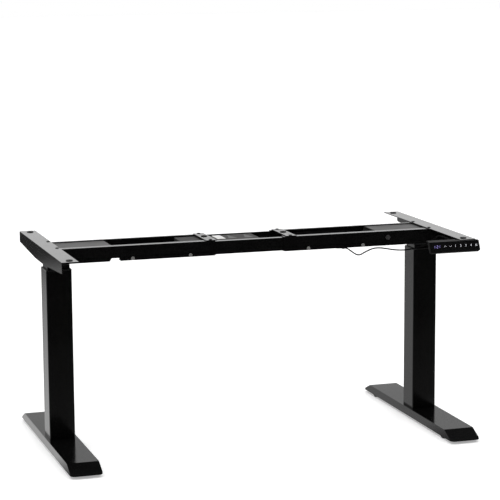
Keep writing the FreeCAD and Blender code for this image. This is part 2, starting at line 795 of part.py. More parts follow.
def within(pair):
    """A stretch less the lip of a socket at both ends."""
    return f"({pair[0]}) + socket_lip", f"({pair[1]}) - socket_lip"


STRAP_END = "rail_thick + slide_gap + centre_proud + rail_thick + plate_gap"
PORT_Y = ("port_front", "port_rear")
PORT_Z = ("box_low + port_low", "box_low + port_high")
SOCKETS = (-26, -9, 8, 25)
INLET_Y = ("inlet_front", "inlet_rear")
INLET_Z = ("box_low + inlet_low", "box_low + inlet_high")
PINS = (-13, -5, 3)


# ---- handset ------------------------------------------------------------------------------------

TILT = Rotation(Vector(1, 0, 0), -number("hand_tilt"))


def face_block(name, x, depth, up):
    """A block laid on the handset's tilted face: depth is measured inwards, up along the face."""
    piece = doc.addObject("Part::Box", name)
    for size, (low, high) in zip(("Length", "Width", "Height"), (x, depth, up)):
        bind(piece, **{size: f"({high}) - ({low})"})
    corner = TILT.multVec(Vector(0, number(depth[0]), number(up[0])))
    piece.Placement = Placement(Vector(), TILT)
    piece.setExpression("Placement.Base.x", words(x[0]))
    piece.setExpression("Placement.Base.y", words(f"hand_face_y + {corner.y}"))
    piece.setExpression("Placement.Base.z", words(f"hand_face_z + {corner.z}"))
    return piece


def key_x(index):
    middle = f"key_first + {index} * key_pitch"
    return f"{middle} - key_wide / 2", f"{middle} + key_wide / 2"


def widened(pair, gap):
    return f"({pair[0]}) - {gap}", f"({pair[1]}) + {gap}"


KEY_NAMES = ("up", "down", "memory_one", "memory_two", "memory_three", "memory_four", "lock")
KEY_UP = ("key_up", "key_up + key_tall")


def make_handset():
    """Wedge-shaped handset: housing, glossy fascia and seven keys."""
    name = "handset_housing"
    top_edge = TILT.multVec(Vector(0, 0, number("hand_tall")))
    back_edge = TILT.multVec(Vector(0, number("hand_thin"), 0))
    top_y = f"hand_face_y + {top_edge.y}"
    top_z = f"hand_face_z + {top_edge.z}"
    profile = [
        ("hand_face_y", "hand_face_z"),
        (f"hand_face_y + {back_edge.y}", f"hand_face_z + {back_edge.z}"),
        ("-bracket_half - 1.5", f"{top_z} - 6"),
        ("-bracket_half - 1.5", top_z),
        (top_y, top_z),
    ]

    def lower_end(edge):
        spot = edge.CenterOfMass
        at_end = min(abs(spot.x - number("hand_left")), abs(spot.x - number("hand_right"))) < 0.01
        return at_end and spot.z < number("hand_face_z") and edge.Length < number("hand_thin") + 1

    wedge = prism(name + "_wedge", "YZ", [profile], "hand_left", "hand_right - hand_left",
                  [(lower_end, "hand_corner")])
    recess = face_block(name + "_recess", ("hand_left + hand_rim", "hand_right - hand_rim"),
                        (-1, "fascia_thick"), ("hand_rim + hand_chin", "hand_tall - hand_rim"))
    wells = [face_block(f"{name}_well{index}", widened(key_x(index), "key_gap"),
                        ("fascia_thick - 0.1", "fascia_thick + key_travel + hole_play"),
                        widened(KEY_UP, "key_gap")) for index in range(len(KEY_NAMES))]
    mouth = (HANDSET_ROUTE[-1][0], HANDSET_ROUTE[-1][1] - 2, HANDSET_ROUTE[-1][2])
    lead_hole = rod(name + "_lead_hole", "lead_wide / 2 + hole_play", mouth, "+y", 20)
    tab_z = ("frame_top - sheet - tab_thick", "frame_top - sheet")
    tab = box(name + "_tab", ("hand_left + 8", "leg_x + tab_screw_far + 6"),
              ("-bracket_half - 4", "-bracket_half + tab_deep"), tab_z)
    wide_tab = box(name + "_wide_tab", ("hand_left + 8", "leg_x - tab_screw_near"),
                   ("-bracket_half - 4", "-bracket_half + tab_deep_left"), tab_z)
    tab_holes = [through(f"{name}_tab_hole{index}", "small_screw + hole_play", spot, axis)
                 for index, (spot, axis) in enumerate(tab_spots())]
    blank = fuse(name + "_blank", wedge, tab, wide_tab)
    keep(cut(name, blank, recess, lead_hole, *wells, *tab_holes), name)

    name = "handset_fascia"
    glass = face_block(name + "_glass", ("hand_left + hand_rim + 0.1", "hand_right - hand_rim - 0.1"),
                       (0, "fascia_thick"), ("hand_rim + hand_chin + 0.1", "hand_tall - hand_rim - 0.1"))
    openings = [face_block(f"{name}_opening{index}", widened(key_x(index), "key_gap"), (-2, 4),
                           widened(KEY_UP, "key_gap")) for index in range(len(KEY_NAMES))]
    keep(cut(name, glass, *openings), name)

    for index, key in enumerate(KEY_NAMES):
        cap = face_block(f"handset_key_{key}", key_x(index), (0, "fascia_thick"), KEY_UP)
        keep(cap, f"handset_key_{key}")


# ---- cables -------------------------------------------------------------------------------------

# Handset cable: out of its clip, a loose dip under the beam, past the column and up along the bracket.
HANDSET_ROUTE = [
    (296, -42, 548.8), (310, -42, 548.8), (326, -43, 536), (348, -44.5, 521.5), (371, -45.5, 534),
    (396, -46.5, 543.5), (422, -47, 542.5), (448, -48, 537), (474, -49.5, 533), (500, -52, 532.5),
    (523, -57, 536.5), (542, -66, 543), (557, -82, 554), (564, -102, 567), (565, -125, 579),
    (562, -150, 587), (560, -178, 589.7), (560.5, -206, 589.4), (560, -232, 589.3), (559.5, -258, 588.4),
    (559, -284, 586.6), (559, -307, 585.6),
]
# The same cable inside the beam, from the control box to the clip.
INNER_ROUTE = [
    (35, -21, 573), (54, -21, 573), (85, -26, 570), (125, -27, 566), (170, -31, 563.5),
    (212, -29, 562), (238, -30, 559.5), (256, -31, 554.5), (270, -34.5, 549.8), (284, -42, 548.8),
    (296, -42, 548.8),
]
RIGHT_MOTOR_ROUTE = [
    (35, 30, 571.4), (57, 30, 571.4), (82, 35, 570.5), (108, 49, 573), (144, 61, 578),
    (202, 66, 583), (262, 65, 582), (320, 67, 583), (354, 57, 580), (377, 37, 575.5),
    (395, 16, 572), (411, 10, 571.5), (425, 10, 571.5),
]
LEFT_MOTOR_ROUTE = [
    (35, 13, 576.4), (57, 13, 576.4), (73, 27.5, 579), (74, 48, 579.3), (59, 62.5, 578),
    (30, 65, 577), (-25, 63.5, 576), (-85, 65, 575), (-155, 63.5, 576), (-225, 65, 575),
    (-290, 63, 576), (-340, 56, 575), (-371, 38, 574), (-394, 17, 572), (-411, 10, 571.5),
    (-425, 10, 571.5),
]
CORD_MIN_DIAMETERS = 3


def cord_tube(name, route, diameter):
    """A round cord along straight runs joined by tangent arcs, each as large as its runs allow."""
    spots = [Vector(*spot) for spot in route]
    edges = []
    start = spots[0]
    radii = []
    for before, corner, after in zip(spots, spots[1:], spots[2:]):
        run_in = (corner - before)
        run_out = (after - corner)
        turn = run_in.getAngle(run_out)
        shorter = min(run_in.Length, run_out.Length)
        radius = 0.45 * shorter / math.tan(turn / 2)
        radii.append(round(radius, 1))
        back = radius * math.tan(turn / 2)
        into = corner - run_in.normalize() * back
        out = corner + run_out.normalize() * back
        middle_way = (into + out) * 0.5 - corner
        reach = radius / math.cos(turn / 2) - radius
        middle = corner + middle_way.normalize() * reach
        edges.append(Part.LineSegment(start, into).toShape())
        edges.append(Part.Arc(into, middle, out).toShape())
        start = out
    edges.append(Part.LineSegment(start, spots[-1]).toShape())
    path = Part.Wire(edges)
    along = (spots[1] - spots[0]).normalize()
    ring = Part.Wire([Part.Circle(spots[0], along, diameter / 2).toShape()])
    solid = path.makePipeShell([ring], True, True)
    expected = math.pi * diameter ** 2 / 4 * path.Length
    print(name, "length", round(path.Length, 1), "volume ratio", round(solid.Volume / expected, 4),
          "tightest", min(radii), "radii", radii)
    if min(radii) < CORD_MIN_DIAMETERS * diameter:
        raise ValueError(name + " bends too tightly")
    return solid


def make_cord(name, cords):
    """A cable node: one tube for each (route, diameter)."""
    tubes = [cord_tube(f"{name} {index}", route, number(wide))
             for index, (route, wide) in enumerate(cords)]
    piece = doc.addObject("Part::Feature", name)
    piece.Shape = tubes[0] if len(tubes) == 1 else Part.makeCompound(tubes)
    piece.Placement = Placement()
    keep(piece, name)


def make_cables():
    """Handset cable, the cables inside the beam and the clip under the front rail."""
    make_cord("handset_lead", [(HANDSET_ROUTE, "lead_wide")])
    make_cord("right_beam_leads", [(INNER_ROUTE, "lead_wide"), (RIGHT_MOTOR_ROUTE, "motor_lead")])
    make_cord("left_motor_lead", [(LEFT_MOTOR_ROUTE, "motor_lead")])
    name = "handset_lead_clip"
    clip_x, clip_y, clip_z = HANDSET_ROUTE[0]
    block = box(name + "_block", (clip_x, f"{clip_x} + clip_long"),
                (f"{clip_y} - clip_front", f"{clip_y} + clip_rear"), (f"{clip_z} - clip_under", "rail_low"))
    bore = rod(name + "_bore", "lead_wide / 2 + lead_gap", (f"{clip_x} - 1", clip_y, clip_z), "+x",
               "clip_long + 2")
    keep(cut(name, block, bore), name)


# ---- assembly -----------------------------------------------------------------------------------

for side_name, side in SIDES.items():
    middle = f"{side} * leg_x"
    make_foot(side_name, middle)
    make_glides(side_name)
    make_base_column(side_name, middle)
    make_middle_stage(side_name, middle)
    make_inner_stage(side_name, middle)
    make_head(side_name, side, middle)
    make_outer_rails(side_name, side)
    make_fasteners(side_name, side)
    make_bracket(side_name, side)
    make_cross_plate(side_name, side)
    make_grommets(side_name, side)
make_centre_rails()
make_control_box()
make_handset()
make_cables()

doc.recompute()
for thing in doc.Objects:
    if {"Invalid", "Error"} & set(thing.State):
        raise RuntimeError(f"{thing.Name} failed: {thing.State}")
os.makedirs("parts", exist_ok=True)
for label, piece in parts.items():
    if piece.Shape.isNull() or not piece.Shape.isValid() or piece.Shape.Volume <= 0:
        raise RuntimeError(label + " has no valid shape")
    piece.Shape.exportStep(f"parts/{label}.step")
print(len(parts), "parts written")
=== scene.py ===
import json
import math

import bmesh
import bpy
from mathutils import Matrix, Vector


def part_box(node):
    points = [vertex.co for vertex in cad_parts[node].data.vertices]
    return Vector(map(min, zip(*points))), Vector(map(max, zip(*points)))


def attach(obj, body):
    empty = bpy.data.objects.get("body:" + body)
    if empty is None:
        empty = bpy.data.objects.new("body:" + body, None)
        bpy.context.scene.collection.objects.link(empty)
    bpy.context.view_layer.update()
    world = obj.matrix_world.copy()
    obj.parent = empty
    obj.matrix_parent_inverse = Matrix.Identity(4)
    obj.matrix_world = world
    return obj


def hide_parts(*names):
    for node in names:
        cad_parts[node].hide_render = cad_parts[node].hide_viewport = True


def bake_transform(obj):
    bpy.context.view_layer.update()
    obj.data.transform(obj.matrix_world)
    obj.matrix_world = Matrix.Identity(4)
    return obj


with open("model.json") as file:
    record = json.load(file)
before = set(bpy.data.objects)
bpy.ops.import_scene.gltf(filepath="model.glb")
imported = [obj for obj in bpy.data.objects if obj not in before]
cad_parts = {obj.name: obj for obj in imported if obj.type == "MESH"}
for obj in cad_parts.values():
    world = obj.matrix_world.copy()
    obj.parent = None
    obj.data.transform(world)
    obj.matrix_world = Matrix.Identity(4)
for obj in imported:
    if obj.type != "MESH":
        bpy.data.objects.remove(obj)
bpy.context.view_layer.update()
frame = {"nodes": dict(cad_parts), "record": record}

# Looks of an electric sit-stand desk frame. Metres, in the row's own frame: +Z up, +X to the right of
# a person sitting at the desk, +Y away from them.

nodes = frame["nodes"]
scene = bpy.context.scene


# ---- node materials -------------------------------------------------------------------------------

class Surface:
    """A material with one principled shader, and short ways to feed it from textures."""

    def __init__(self, name, **values):
        self.material = bpy.data.materials.new(name)
        self.material.use_nodes = True
        self.tree = self.material.node_tree
        self.shader = self.tree.nodes["Principled BSDF"]
        self.place = self.add("ShaderNodeTexCoord").outputs["Object"]
        for socket, value in values.items():
            self.shader.inputs[socket.replace("_", " ")].default_value = value

    def add(self, kind, **settings):
        """A new shader node with its settings."""
        node = self.tree.nodes.new(kind)
        for key, value in settings.items():
            setattr(node, key, value)
        return node

    def link(self, source, target):
        self.tree.links.new(source, target)

    def noise(self, scale, detail, rough=0.5):
        """Noise in the object's own metres, with so many lumps in a metre."""
        node = self.add("ShaderNodeTexNoise")
        self.link(self.place, node.inputs["Vector"])
        for socket, value in (("Scale", scale), ("Detail", detail), ("Roughness", rough)):
            node.inputs[socket].default_value = value
        return node.outputs["Fac"]

    def ramp(self, factor, stops):
        """A colour that runs through (place, colour) stops."""
        node = self.add("ShaderNodeValToRGB")
        ramp = node.color_ramp
        while len(ramp.elements) < len(stops):
            ramp.elements.new(0.5)
        for element, (at, colour) in zip(ramp.elements, stops):
            element.position = at
            element.color = (*colour, 1)
        self.link(factor, node.inputs["Fac"])
        return node.outputs["Color"]

    def range(self, factor, low, high):
        """A factor between 0 and 1, spread between two values."""
        node = self.add("ShaderNodeMapRange")
        node.inputs["To Min"].default_value = low
        node.inputs["To Max"].default_value = high
        self.link(factor, node.inputs["Value"])
        return node.outputs["Result"]

    def bump(self, *layers):
        """Relief from (height, strength, distance in metres) layers."""
        normal = None
        for height, strength, distance in layers:
            node = self.add("ShaderNodeBump")
            node.inputs["Strength"].default_value = strength
            node.inputs["Distance"].default_value = distance
            self.link(height, node.inputs["Height"])
            if normal:
                self.link(normal, node.inputs["Normal"])
            normal = node.outputs["Normal"]
        self.link(normal, self.shader.inputs["Normal"])


def grey(value, tint=(1, 1, 1)):
    """A colour of one brightness, tinted."""
    return tuple(value * share for share in tint)


def powder_coat(name, value, rough, tint=(1, 0.99, 1.0), grain=0.5, ior=1.36):
    """Powder coat: an orange-peel skin with a fine grain, faintly uneven in colour and gloss."""
    surface = Surface(name, IOR=ior)
    peel = surface.noise(900, detail=2)
    fine = surface.noise(3200, detail=1)
    cloud = surface.noise(14, detail=4, rough=0.6)
    low = grey(value * 0.8, tint)
    high = grey(value * 1.3, tint)
    surface.link(surface.ramp(cloud, [(0.3, low), (0.7, high)]), surface.shader.inputs["Base Color"])
    surface.link(surface.range(cloud, rough - 0.03, rough + 0.05), surface.shader.inputs["Roughness"])
    surface.bump((peel, 0.12 * grain, 0.0004), (fine, 0.10 * grain, 0.0001))
    return surface.material


def moulded(name, value, rough, tint=(1, 1, 1), grain=1.0, ior=1.42):
    """Moulded plastic or rubber with a fine spark-eroded grain."""
    surface = Surface(name, IOR=ior)
    sparks = surface.noise(2400, detail=3, rough=0.7)
    cloud = surface.noise(30, detail=3)
    low = grey(value * 0.85, tint)
    high = grey(value * 1.2, tint)
    surface.link(surface.ramp(cloud, [(0.3, low), (0.7, high)]), surface.shader.inputs["Base Color"])
    surface.link(surface.range(sparks, rough - 0.06, rough + 0.08), surface.shader.inputs["Roughness"])
    surface.bump((sparks, 0.18 * grain, 0.0001))
    return surface.material


def gloss(name, value, rough):
    """Polished plastic: nearly smooth, with a slight waviness and a few fine rub marks."""
    surface = Surface(name, IOR=1.5, Coat_Weight=0.4, Coat_Roughness=0.05)
    wave = surface.noise(60, detail=1)
    rubs = surface.noise(700, detail=4, rough=0.7)
    stops = [(0.3, grey(value * 0.9)), (0.7, grey(value * 1.1))]
    surface.link(surface.ramp(rubs, stops), surface.shader.inputs["Base Color"])
    surface.link(surface.range(rubs, rough, rough + 0.06), surface.shader.inputs["Roughness"])
    surface.bump((wave, 0.05, 0.0005))
    return surface.material


# Noise lumps in a metre, across the rings and along the turned axis.
RING_SCALE = (40, 40, 2600)


def bare_steel(name, value, rough):
    """Turned steel with fine rings around it."""
    surface = Surface(name, Metallic=1.0)
    rings = surface.add("ShaderNodeTexNoise")
    stretch = surface.add("ShaderNodeMapping")
    stretch.inputs["Scale"].default_value = RING_SCALE
    surface.link(surface.place, stretch.inputs["Vector"])
    surface.link(stretch.outputs["Vector"], rings.inputs["Vector"])
    rings.inputs["Scale"].default_value = 1.0
    streak = rings.outputs["Fac"]
    stops = [(0.3, grey(value * 0.8)), (0.7, grey(value * 1.15, (1, 0.99, 0.97)))]
    surface.link(surface.ramp(streak, stops), surface.shader.inputs["Base Color"])
    surface.link(surface.range(streak, rough - 0.05, rough + 0.1), surface.shader.inputs["Roughness"])
    surface.bump((streak, 0.2, 0.0001))
    return surface.material


def lit(name, colour, strength):
    """A display segment that glows through the panel, or a printed sign with the same glow painted on,
    slightly mottled.
    """
    surface = Surface(name, Roughness=0.35)
    speck = surface.noise(4000, detail=1)
    stops = [(0.2, grey(0.8, colour)), (0.8, colour)]
    for socket in ("Base Color", "Emission Color"):
        surface.link(surface.ramp(speck, stops), surface.shader.inputs[socket])
    surface.shader.inputs["Emission Strength"].default_value = strength
    return surface.material


def paper(name, value):
    """A blank printed label with faint fibres."""
    surface = Surface(name)
    fibres = surface.noise(1800, detail=5, rough=0.75)
    stops = [(0.25, grey(value * 0.93, (1, 0.99, 0.97))), (0.75, grey(value))]
    surface.link(surface.ramp(fibres, stops), surface.shader.inputs["Base Color"])
    surface.link(surface.range(fibres, 0.55, 0.75), surface.shader.inputs["Roughness"])
    surface.bump((fibres, 0.15, 0.00005))
    return surface.material


FINISHES = {
    "frame_coat": powder_coat("frame_coat", 0.003, 0.13, grain=0.25, ior=1.42),
    "head_coat": powder_coat("head_coat", 0.022, 0.42, (1, 0.98, 0.95), ior=1.45),
    "inner_steel": bare_steel("inner_steel", 0.5, 0.3),
    "fastener_black": powder_coat("fastener_black", 0.015, 0.35, grain=0.3, ior=1.4),
    "column_plastic": moulded("column_plastic", 0.015, 0.45),
    "glide_plastic": moulded("glide_plastic", 0.02, 0.5),
    "grommet_rubber": moulded("grommet_rubber", 0.02, 0.6, grain=1.5),
    "box_plastic": moulded("box_plastic", 0.016, 0.5, (1, 0.95, 0.9), ior=1.28),
    "port_plastic": moulded("port_plastic", 0.012, 0.4),
    "handset_plastic": moulded("handset_plastic", 0.006, 0.5, grain=0.5, ior=1.16),
    "handset_gloss": gloss("handset_gloss", 0.006, 0.12),
    "lead_jacket": moulded("lead_jacket", 0.004, 0.6, grain=0.6, ior=1.1),
}
# Painted glint: the clamp screws' light grey coat is pale zinc with its glint painted into the colour, and
# the rail bolts' lighter black paints in the highlight ring on their heads.
CLAMP_ZINC_GLINT = powder_coat("clamp_zinc_glint", 0.2, 0.3, (1, 0.99, 0.96), ior=1.6)
BOLT_STEEL_GLINT = powder_coat("bolt_steel_glint", 0.035, 0.35, ior=1.45)
# The printed key signs glow as painted light; the height display's glow is its own.
SIGN_WHITE_GLOW = lit("sign_white_glow", (0.8, 0.81, 0.85), 0.25)
DISPLAY_BLUE = lit("display_blue", (0.42, 0.36, 0.90), 0.55)
LABEL_WHITE = paper("label_white", 0.85)
LABEL_GREY = paper("label_grey", 0.14)

# Rounded sheet edges: the part of a node's name, and the radius.
EDGE_RADII = {
    "_foot": 0.0012, "_outer_tube": 0.0006, "_middle_tube": 0.0005, "_inner_tube": 0.0005,
    "_outer_collar": 0.0006, "_side_bracket": 0.0007, "_cross_plate": 0.0006, "_head_plate": 0.0006,
    "_front_rail": 0.0005, "_rear_rail": 0.0005, "_gearbox": 0.0008, "_motor": 0.0008,
    "_grommets": 0.0008, "_glide": 0.0008, "_clip": 0.0004, "_housing": 0.0006, "_lid": 0.0006,
    "_fascia": 0.0003, "_key_": 0.0003, "_fasteners": 0.0003, "_ports": 0.0004,
}
SHARP_OVER = math.radians(32)
FOOT_SHARP_OVER = math.radians(14)      # a foot's end slopes gently
BEVEL_STEPS = 2
WELD_WITHIN = 1e-6

# Where the fasteners of other finishes are: the clamp screws are in the rails' lower bands, inboard,
# and the rail bolts a little further out.
CLAMPS_WITHIN = 0.37
CLAMPS_BELOW = 0.564
BOLTS_WITHIN = 0.45


def soften(piece, radius, sharp_over):
    """Rounds the sharp edges of a mesh and lets its curved faces shade smoothly."""
    if "custom_normal" in piece.data.attributes:
        piece.data.attributes.remove(piece.data.attributes["custom_normal"])
    piece.data.polygons.foreach_set("use_smooth", [True] * len(piece.data.polygons))
    weld = piece.modifiers.new("weld", "WELD")
    weld.merge_threshold = WELD_WITHIN
    bevel = piece.modifiers.new("bevel", "BEVEL")
    bevel.width = radius
    bevel.segments = BEVEL_STEPS
    bevel.limit_method = "ANGLE"
    bevel.angle_limit = sharp_over
    bevel.harden_normals = True
    normals = piece.modifiers.new("normals", "WEIGHTED_NORMAL")
    normals.keep_sharp = True


def finish_fasteners(piece):
    """A light grey coat for the clamp screws in the rails' lower bands, pale zinc with its glint painted
    in, and a lighter black for the rail bolts, with the sheen of their heads painted in.
    """
    slots = piece.data.materials
    slots.append(CLAMP_ZINC_GLINT)
    slots.append(BOLT_STEEL_GLINT)
    for face in piece.data.polygons:
        spot = piece.matrix_world @ face.center
        if abs(spot.x) < CLAMPS_WITHIN and spot.z < CLAMPS_BELOW:
            face.material_index = slots.find(CLAMP_ZINC_GLINT.name)
        elif abs(spot.x) < BOLTS_WITHIN:
            face.material_index = slots.find(BOLT_STEEL_GLINT.name)


def finish_cad_nodes():
    """Every CAD node that stays gets its slot's finish and rounded edges."""
    slot_of = {row["node"]: row["material_slot"] for row in frame["record"]["subparts"]}
    for name, piece in nodes.items():
        piece.data.materials.clear()
        piece.data.materials.append(FINISHES[slot_of[name]])
        for part, radius in EDGE_RADII.items():
            if part in name:
                soften(piece, radius, FOOT_SHARP_OVER if part == "_foot" else SHARP_OVER)
                break
    for side in ("left", "right"):
        finish_fasteners(nodes[side + "_rail_fasteners"])


def new_piece(name, mesh, material):
    """An object in the scene from a mesh and its one material."""
    mesh.materials.append(material)
    piece = bpy.data.objects.new(name, mesh)
    scene.collection.objects.link(piece)
    return piece


def from_bmesh(name, shape, material):
    """An object in the scene from a finished bmesh, which is freed."""
    mesh = bpy.data.meshes.new(name)
    shape.to_mesh(mesh)
    shape.free()
    return new_piece(name, mesh, material)


# ---- cables ---------------------------------------------------------------------------------------

HANDSET_ROUTE = [
    (0.296, -0.042, 0.5488), (0.310, -0.042, 0.5488), (0.326, -0.043, 0.536),
    (0.348, -0.0445, 0.5215), (0.371, -0.0455, 0.534), (0.396, -0.0465, 0.5435),
    (0.422, -0.047, 0.5425), (0.448, -0.048, 0.537), (0.474, -0.0495, 0.533),
    (0.500, -0.052, 0.5325), (0.523, -0.057, 0.5365), (0.542, -0.066, 0.543),
    (0.557, -0.082, 0.554), (0.564, -0.102, 0.567), (0.565, -0.125, 0.579), (0.562, -0.150, 0.587),
    (0.560, -0.178, 0.5897), (0.5605, -0.206, 0.5894), (0.560, -0.232, 0.5893),
    (0.5595, -0.258, 0.5884), (0.559, -0.284, 0.5866), (0.559, -0.307, 0.5856),
]
INNER_ROUTE = [
    (0.035, -0.021, 0.573), (0.054, -0.021, 0.573), (0.085, -0.026, 0.570), (0.125, -0.027, 0.566),
    (0.170, -0.031, 0.5635), (0.212, -0.029, 0.562), (0.238, -0.030, 0.5595),
    (0.256, -0.031, 0.5545), (0.270, -0.0345, 0.5498), (0.284, -0.042, 0.5488),
    (0.296, -0.042, 0.5488),
]
RIGHT_MOTOR_ROUTE = [
    (0.035, 0.030, 0.5714), (0.057, 0.030, 0.5714), (0.082, 0.035, 0.5705), (0.108, 0.049, 0.573),
    (0.144, 0.061, 0.578), (0.202, 0.066, 0.583), (0.262, 0.065, 0.582), (0.320, 0.067, 0.583),
    (0.354, 0.057, 0.580), (0.377, 0.037, 0.5755), (0.395, 0.016, 0.572), (0.411, 0.010, 0.5715),
    (0.425, 0.010, 0.5715),
]
LEFT_MOTOR_ROUTE = [
    (0.035, 0.013, 0.5764), (0.057, 0.013, 0.5764), (0.073, 0.0275, 0.579), (0.074, 0.048, 0.5793),
    (0.059, 0.0625, 0.578), (0.030, 0.065, 0.577), (-0.025, 0.0635, 0.576), (-0.085, 0.065, 0.575),
    (-0.155, 0.0635, 0.576), (-0.225, 0.065, 0.575), (-0.290, 0.063, 0.576), (-0.340, 0.056, 0.575),
    (-0.371, 0.038, 0.574), (-0.394, 0.017, 0.572), (-0.411, 0.010, 0.5715),
    (-0.425, 0.010, 0.5715),
]
HANDSET_LEAD = 0.004            # diameters
MOTOR_LEAD = 0.0055


def cable(name, route, diameter):
    """A round cable on one smooth curve with the route's points as its control points."""
    curve = bpy.data.curves.new(name, "CURVE")
    curve.dimensions = "3D"
    spline = curve.splines.new("NURBS")
    spline.points.add(len(route) - 1)
    for point, spot in zip(spline.points, route):
        point.co = (*spot, 1)
    spline.order_u = 3
    spline.use_endpoint_u = True
    spline.resolution_u = 10
    curve.bevel_depth = diameter / 2
    curve.bevel_resolution = 5
    curve.use_fill_caps = True
    piece = bpy.data.objects.new(name, curve)
    scene.collection.objects.link(piece)
    curve.materials.append(FINISHES["lead_jacket"])
    return piece


def as_mesh(piece, name):
    """A curve or text object turned into a mesh object."""
    graph = bpy.context.evaluated_depsgraph_get()
    mesh = bpy.data.meshes.new_from_object(piece.evaluated_get(graph))
    mesh.transform(piece.matrix_world)
    made = bpy.data.objects.new(name, mesh)
    scene.collection.objects.link(made)
    bpy.data.objects.remove(piece)
    return made


def joined(name, pieces):
    """One or more mesh objects made into one, with smooth faces."""
    whole = bmesh.new()
    for piece in pieces:
        whole.from_mesh(piece.data)
    made = from_bmesh(name, whole, pieces[0].data.materials[0])
    for piece in pieces:
        bpy.data.objects.remove(piece)
    made.data.polygons.foreach_set("use_smooth", [True] * len(made.data.polygons))
    return made


def lay_cables():
    """The free handset cable, and the cables in the beam."""
    lead = cable("handset_cable", HANDSET_ROUTE, HANDSET_LEAD)
    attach(lead, "right_head")
    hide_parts("handset_lead")

    inner = as_mesh(cable("inner_run", INNER_ROUTE, HANDSET_LEAD), "inner_run_mesh")
    motor = as_mesh(cable("motor_run", RIGHT_MOTOR_ROUTE, MOTOR_LEAD), "motor_run_mesh")
    right = joined("right_beam_cables", [inner, motor])
    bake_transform(right)
    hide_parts("right_beam_leads")

    run = as_mesh(cable("left_run", LEFT_MOTOR_ROUTE, MOTOR_LEAD), "left_run_mesh")
    left = joined("left_motor_cable", [run])
    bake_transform(left)
    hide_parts("left_motor_lead")


# ---- handset signs --------------------------------------------------------------------------------

KEYS = ("up", "down", "memory_one", "memory_two", "memory_three", "memory_four", "lock")
FACE_TILT = math.radians(26.5)
FACE_UP = Vector((0, math.sin(FACE_TILT), math.cos(FACE_TILT)))
FACE_OUT = Vector((0, -math.cos(FACE_TILT), math.sin(FACE_TILT)))
SIGN_LIFT = 0.00006
KEY_DEPTH = 0.0015              # how deep a key is, square to its face
ROUND_STEPS = 6                 # straight pieces in the round end of a stroke


def face_matrix(middle):
    """Places a flat drawing on the handset's tilted face: x to the right, y up the face."""
    turn = Matrix((Vector((1, 0, 0)), FACE_UP, FACE_OUT)).transposed().to_4x4()
    return Matrix.Translation(middle + FACE_OUT * SIGN_LIFT) @ turn


def face_spot(key):
    """The middle of a key's front face, from the key's box."""
    low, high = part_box("handset_key_" + key)
    depth_up = KEY_DEPTH * math.sin(FACE_TILT)
    tall = ((high.z - low.z) - depth_up) / math.cos(FACE_TILT)
    bottom_middle = Vector(((low.x + high.x) / 2, low.y, low.z + depth_up))
    return bottom_middle + FACE_UP * tall / 2


def strokes(name, lines, wide, material):
    """A flat drawing of thick lines with round ends, as a mesh."""
    shape = bmesh.new()
    for (x0, y0), (x1, y1) in lines:
        along = Vector((x1 - x0, y1 - y0))
        angle = math.atan2(along.y, along.x)
        rim = []
        for centre, start in (((x1, y1), angle - math.pi / 2), ((x0, y0), angle + math.pi / 2)):
            for step in range(ROUND_STEPS + 1):
                turn = start + math.pi * step / ROUND_STEPS
                x = centre[0] + math.cos(turn) * wide / 2
                y = centre[1] + math.sin(turn) * wide / 2
                rim.append(shape.verts.new((x, y, 0)))
        shape.faces.new(rim)
    return from_bmesh(name, shape, material)


def digit(name, character, tall, material):
    """A plain digit as a flat mesh, centred."""
    text = bpy.data.curves.new(name + "_text", "FONT")
    text.body = character
    text.size = tall
    text.align_x = "CENTER"
    text.align_y = "CENTER"
    holder = bpy.data.objects.new(name + "_text", text)
    scene.collection.objects.link(holder)
    bpy.context.view_layer.update()
    piece = as_mesh(holder, name)
    piece.data.materials.clear()
    piece.data.materials.append(material)
    return piece


# Drawings of lines from one point to another, in metres.
CHEVRON = [((-0.0038, -0.0014), (0, 0.0016)), ((0, 0.0016), (0.0038, -0.0014))]
PADLOCK = [
    ((-0.0026, -0.0028), (0.0026, -0.0028)), ((-0.0026, -0.0028), (-0.0026, -0.0002)),
    ((0.0026, -0.0028), (0.0026, -0.0002)), ((-0.0026, -0.0002), (0.0026, -0.0002)),
    ((-0.0017, -0.0002), (-0.0017, 0.0014)), ((-0.0017, 0.0014), (-0.0007, 0.0024)),
    ((-0.0007, 0.0024), (0.0007, 0.0024)), ((0.0007, 0.0024), (0.0017, 0.0014)),
]
SIGN_LINE = 0.0008
DIGIT_TALL = 0.0098


def flipped(lines):
    """A drawing turned upside down."""
    return [((x0, -y0), (x1, -y1)) for (x0, y0), (x1, y1) in lines]


def make_signs():
    """A sign on each key: arrows, the four memory numbers and a padlock."""
    drawings = {"up": CHEVRON, "down": flipped(CHEVRON), "lock": PADLOCK}
    memory = iter("1234")
    for key in KEYS:
        name = "sign_" + key
        if key in drawings:
            sign = strokes(name, drawings[key], SIGN_LINE, SIGN_WHITE_GLOW)
        else:
            sign = digit(name, next(memory), DIGIT_TALL, SIGN_WHITE_GLOW)
        sign.data.transform(face_matrix(face_spot(key)))
        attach(sign, "key_" + key)


